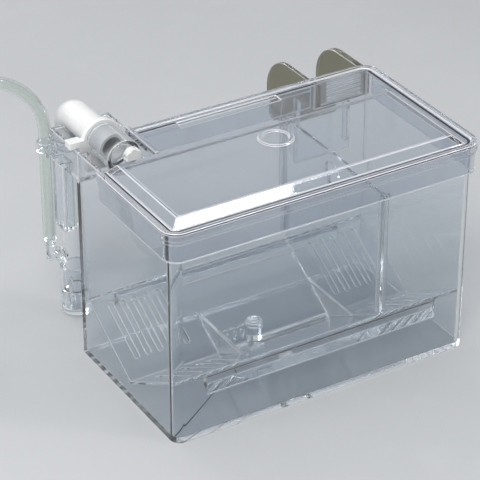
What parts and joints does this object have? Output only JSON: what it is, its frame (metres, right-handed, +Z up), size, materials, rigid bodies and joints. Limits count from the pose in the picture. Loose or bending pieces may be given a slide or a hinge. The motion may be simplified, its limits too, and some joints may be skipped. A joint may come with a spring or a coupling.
{
  "type": "fish breeding box",
  "caption": "Clear hang-on fish breeding box with a lid, a slotted V-shaped trap tray, a divider, a spillway and an air-driven inlet elbow.",
  "frame": {"origin": "middle of the width and of the overall depth, at the flat base", "axes": "+X along the width to the right seen from the front, +Y to the rear where the hooks are, +Z up"},
  "size_m": [0.2947, 0.1473, 0.1319],
  "materials": {
    "clear_plastic": "polished clear polystyrene",
    "frosted_plastic": "slightly milky clear polystyrene",
    "smoked_plastic": "faintly smoked clear polystyrene",
    "white_plastic": "glossy moulded white",
    "soft_tube": "soft clear hose with a faint green tint",
    "dark_plastic": "matte strap"
  },
  "bodies": {
    "tank_body": {"tank": "clear_plastic", "front_guide": "clear_plastic", "rear_guide": "clear_plastic", "inlet_bay": "clear_plastic", "left_hook": "clear_plastic", "spillway": "smoked_plastic", "right_hook": "clear_plastic", "riser_tube": "clear_plastic", "strainer": "clear_plastic", "air_nipple": "clear_plastic", "tube_bracket": "clear_plastic", "airline": "soft_tube", "airline_coil": "soft_tube", "coil_tie": "dark_plastic"},
    "lid_body": {"lid": "clear_plastic"},
    "elbow_body": {"elbow": "white_plastic", "elbow_saddle": "white_plastic"},
    "nozzle_body": {"nozzle": "clear_plastic", "nozzle_knob": "white_plastic"},
    "tray_body": {"trap_tray": "clear_plastic", "left_gusset": "frosted_plastic", "right_gusset": "frosted_plastic"},
    "gate_body": {"gate_plate": "clear_plastic", "gate_post": "clear_plastic"},
    "divider_body": {"divider": "clear_plastic"},
    "grille_body": {"outlet_grille": "frosted_plastic"}
  },
  "joints": [
    {"name": "lid_lift", "type": "slide", "parent": "tank_body", "child": "lid_body", "axis": [0, 0, 1], "range_m": [0, 0.26]},
    {"name": "elbow_lift", "type": "slide", "parent": "tank_body", "child": "elbow_body", "axis": [0, 0, 1], "range_m": [0, 0.16]},
    {"name": "tray_lift", "type": "slide", "parent": "tank_body", "child": "tray_body", "axis": [0, 0, 1], "range_m": [0, 0.12]},
    {"name": "divider_lift", "type": "slide", "parent": "tray_body", "child": "divider_body", "axis": [0, 0, 1], "range_m": [0, 0.095]},
    {"name": "grille_lift", "type": "slide", "parent": "tank_body", "child": "grille_body", "axis": [0, 0, 1], "range_m": [0, 0.032]},
    {"name": "nozzle_swivel", "type": "hinge", "parent": "elbow_body", "child": "nozzle_body", "pos_m": [-0.063, 0.018, 0.108], "axis": [0, 1, 0], "range_deg": [-90, 90]},
    {"name": "gate_slide", "type": "slide", "parent": "tray_body", "child": "gate_body", "axis": [1, 0, 0], "range_m": [0, 0.036]}
  ],
  "couplings": [
    {"joint": "elbow_lift", "follows": "lid_lift", "ratio": 0.6},
    {"joint": "tray_lift", "follows": "lid_lift", "ratio": 0.45},
    {"joint": "divider_lift", "follows": "lid_lift", "ratio": 0.35},
    {"joint": "grille_lift", "follows": "lid_lift", "ratio": 0.12}
  ]
}
